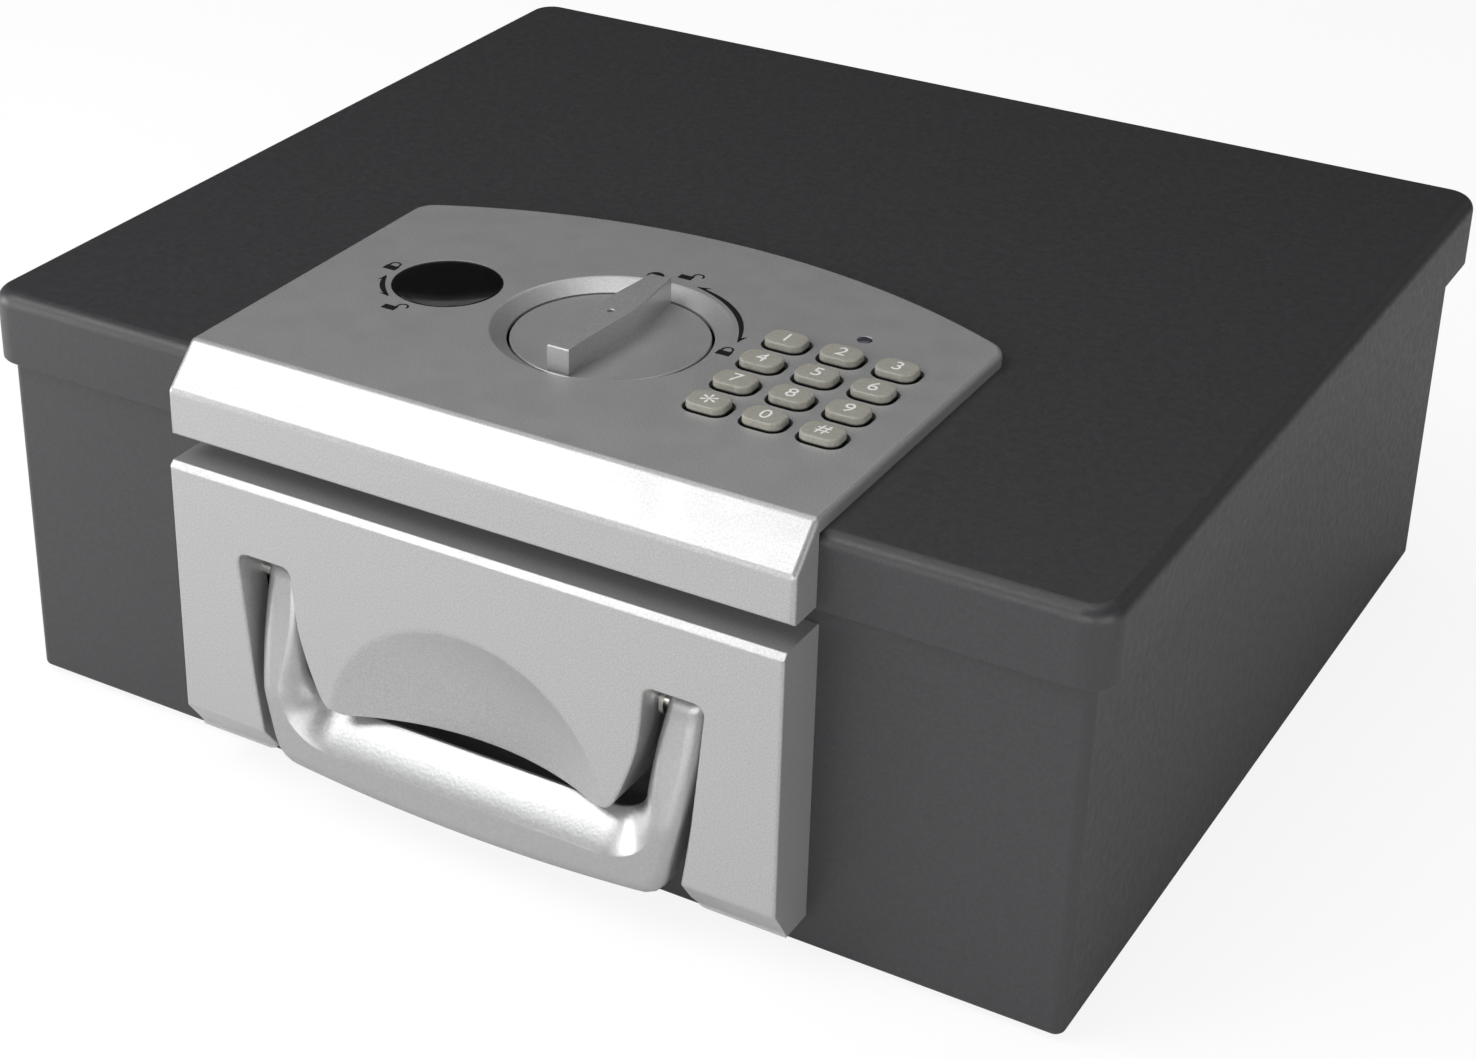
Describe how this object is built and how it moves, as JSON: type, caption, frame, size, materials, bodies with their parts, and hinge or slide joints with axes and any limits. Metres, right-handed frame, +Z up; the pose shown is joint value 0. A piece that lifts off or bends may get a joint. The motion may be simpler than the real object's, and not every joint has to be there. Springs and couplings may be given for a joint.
{
  "type": "lockable document box",
  "caption": "Steel document box with an overlapping hinged lid, a lock panel with knob, keypad and covered key lock, and a fold-out carrying handle on the front.",
  "frame": {"origin": "on the resting surface, under the middle of the box's overall width and depth", "axes": "+X to the right as seen from the front, along the longest side; -Y is the front with the handle; +Z up"},
  "size_m": [0.34, 0.311, 0.1357],
  "materials": {
    "body_steel": "charcoal powder coat with a fine texture",
    "lid_steel": "charcoal powder coat with a fine texture",
    "felt": "short felt",
    "plate_plastic": "satin silver paint",
    "panel_plastic": "satin silver paint",
    "knob_plastic": "satin silver paint",
    "handle_metal": "silver paint over a fine cast grain",
    "black_plastic": "satin",
    "foot_rubber": "matt",
    "key_rubber": "silk-smooth silicone rubber with printed white signs",
    "bright_steel": "bright nickel plate",
    "plain_steel": "bright zinc plate",
    "plug_brass": "turned",
    "lamp_lens": "smoked lens",
    "circuit_board": "lacquer",
    "coil_winding": "taped copper winding",
    "cell_metal": "printed sleeve"
  },
  "bodies": {
    "box": {"body_shell": "body_steel", "floor_mat": "felt", "foot_1": "foot_rubber", "foot_2": "foot_rubber", "foot_3": "foot_rubber", "foot_4": "foot_rubber", "body_leaf_left": "body_steel", "body_leaf_right": "body_steel", "hinge_pin_left": "plain_steel", "hinge_pin_right": "plain_steel", "handle_plate": "plate_plastic", "plate_screw_1": "plain_steel", "plate_screw_2": "plain_steel", "plate_screw_3": "plain_steel", "plate_screw_4": "plain_steel", "handle_pin_left": "bright_steel", "handle_pin_right": "bright_steel"},
    "lid": {"lid_shell": "lid_steel", "lid_leaf_left": "lid_steel", "lid_leaf_right": "lid_steel", "lock_panel": "panel_plastic", "lock_sleeve": "bright_steel", "lamp": "lamp_lens", "keypad_board": "circuit_board", "lock_chassis": "plain_steel", "solenoid": "coil_winding", "lock_case": "black_plastic", "case_screw_1": "plain_steel", "case_screw_2": "plain_steel", "case_screw_3": "plain_steel", "case_screw_4": "plain_steel", "cell_1": "cell_metal", "cell_2": "cell_metal", "cell_3": "cell_metal", "cell_4": "cell_metal"},
    "carry_handle": {"handle": "handle_metal"},
    "knob_group": {"knob": "knob_plastic", "crank": "plain_steel"},
    "lock_bolt": {"bolt": "plain_steel"},
    "key_lock_cover": {"key_cover": "black_plastic"},
    "key_plug": {"lock_plug": "plug_brass"},
    "stop_plunger": {"plunger": "plain_steel"},
    "battery_door": {"battery_cover": "black_plastic"},
    "button_1": {"key_1": "key_rubber"},
    "button_2": {"key_2": "key_rubber"},
    "button_3": {"key_3": "key_rubber"},
    "button_4": {"key_4": "key_rubber"},
    "button_5": {"key_5": "key_rubber"},
    "button_6": {"key_6": "key_rubber"},
    "button_7": {"key_7": "key_rubber"},
    "button_8": {"key_8": "key_rubber"},
    "button_9": {"key_9": "key_rubber"},
    "button_star": {"key_star": "key_rubber"},
    "button_0": {"key_0": "key_rubber"},
    "button_hash": {"key_hash": "key_rubber"}
  },
  "joints": [
    {"name": "lid_hinge", "type": "hinge", "parent": "box", "child": "lid", "pos_m": [0, 0.1524, 0.1023], "axis": [-1, 0, 0], "range_deg": [0, 100]},
    {"name": "handle_pivot", "type": "hinge", "parent": "box", "child": "carry_handle", "pos_m": [0, -0.1415, 0.068], "axis": [-1, 0, 0], "range_deg": [0, 85]},
    {"name": "knob_turn", "type": "hinge", "parent": "lid", "child": "knob_group", "pos_m": [-0.0025, -0.0745, 0.128], "axis": [0, 0, 1], "range_deg": [-90, 0]},
    {"name": "bolt_slide", "type": "slide", "parent": "lid", "child": "lock_bolt", "axis": [0, -1, 0], "range_m": [0, 0.013]},
    {"name": "key_cover_lift", "type": "slide", "parent": "lid", "child": "key_lock_cover", "axis": [0, 0, 1], "range_m": [0, 0.012]},
    {"name": "lock_plug_turn", "type": "hinge", "parent": "lid", "child": "key_plug", "pos_m": [-0.056, -0.0745, 0.12], "axis": [0, 0, 1], "range_deg": [0, 90]},
    {"name": "plunger_slide", "type": "slide", "parent": "lid", "child": "stop_plunger", "axis": [-1, 0, 0], "range_m": [0, 0.003], "stiffness_N_per_m": 100},
    {"name": "battery_cover_slide", "type": "slide", "parent": "lid", "child": "battery_door", "axis": [0, 1, 0], "range_m": [0, 0.04]},
    {"name": "key_press_1", "type": "slide", "parent": "lid", "child": "button_1", "axis": [0, 0, -1], "range_m": [0, 0.001], "stiffness_N_per_m": 300},
    {"name": "key_press_2", "type": "slide", "parent": "lid", "child": "button_2", "axis": [0, 0, -1], "range_m": [0, 0.001], "stiffness_N_per_m": 300},
    {"name": "key_press_3", "type": "slide", "parent": "lid", "child": "button_3", "axis": [0, 0, -1], "range_m": [0, 0.001], "stiffness_N_per_m": 300},
    {"name": "key_press_4", "type": "slide", "parent": "lid", "child": "button_4", "axis": [0, 0, -1], "range_m": [0, 0.001], "stiffness_N_per_m": 300},
    {"name": "key_press_5", "type": "slide", "parent": "lid", "child": "button_5", "axis": [0, 0, -1], "range_m": [0, 0.001], "stiffness_N_per_m": 300},
    {"name": "key_press_6", "type": "slide", "parent": "lid", "child": "button_6", "axis": [0, 0, -1], "range_m": [0, 0.001], "stiffness_N_per_m": 300},
    {"name": "key_press_7", "type": "slide", "parent": "lid", "child": "button_7", "axis": [0, 0, -1], "range_m": [0, 0.001], "stiffness_N_per_m": 300},
    {"name": "key_press_8", "type": "slide", "parent": "lid", "child": "button_8", "axis": [0, 0, -1], "range_m": [0, 0.001], "stiffness_N_per_m": 300},
    {"name": "key_press_9", "type": "slide", "parent": "lid", "child": "button_9", "axis": [0, 0, -1], "range_m": [0, 0.001], "stiffness_N_per_m": 300},
    {"name": "key_press_star", "type": "slide", "parent": "lid", "child": "button_star", "axis": [0, 0, -1], "range_m": [0, 0.001], "stiffness_N_per_m": 300},
    {"name": "key_press_0", "type": "slide", "parent": "lid", "child": "button_0", "axis": [0, 0, -1], "range_m": [0, 0.001], "stiffness_N_per_m": 300},
    {"name": "key_press_hash", "type": "slide", "parent": "lid", "child": "button_hash", "axis": [0, 0, -1], "range_m": [0, 0.001], "stiffness_N_per_m": 300}
  ],
  "couplings": [
    {"joint": "bolt_slide", "follows": "knob_turn", "m_per_rad": -0.0082761}
  ]
}
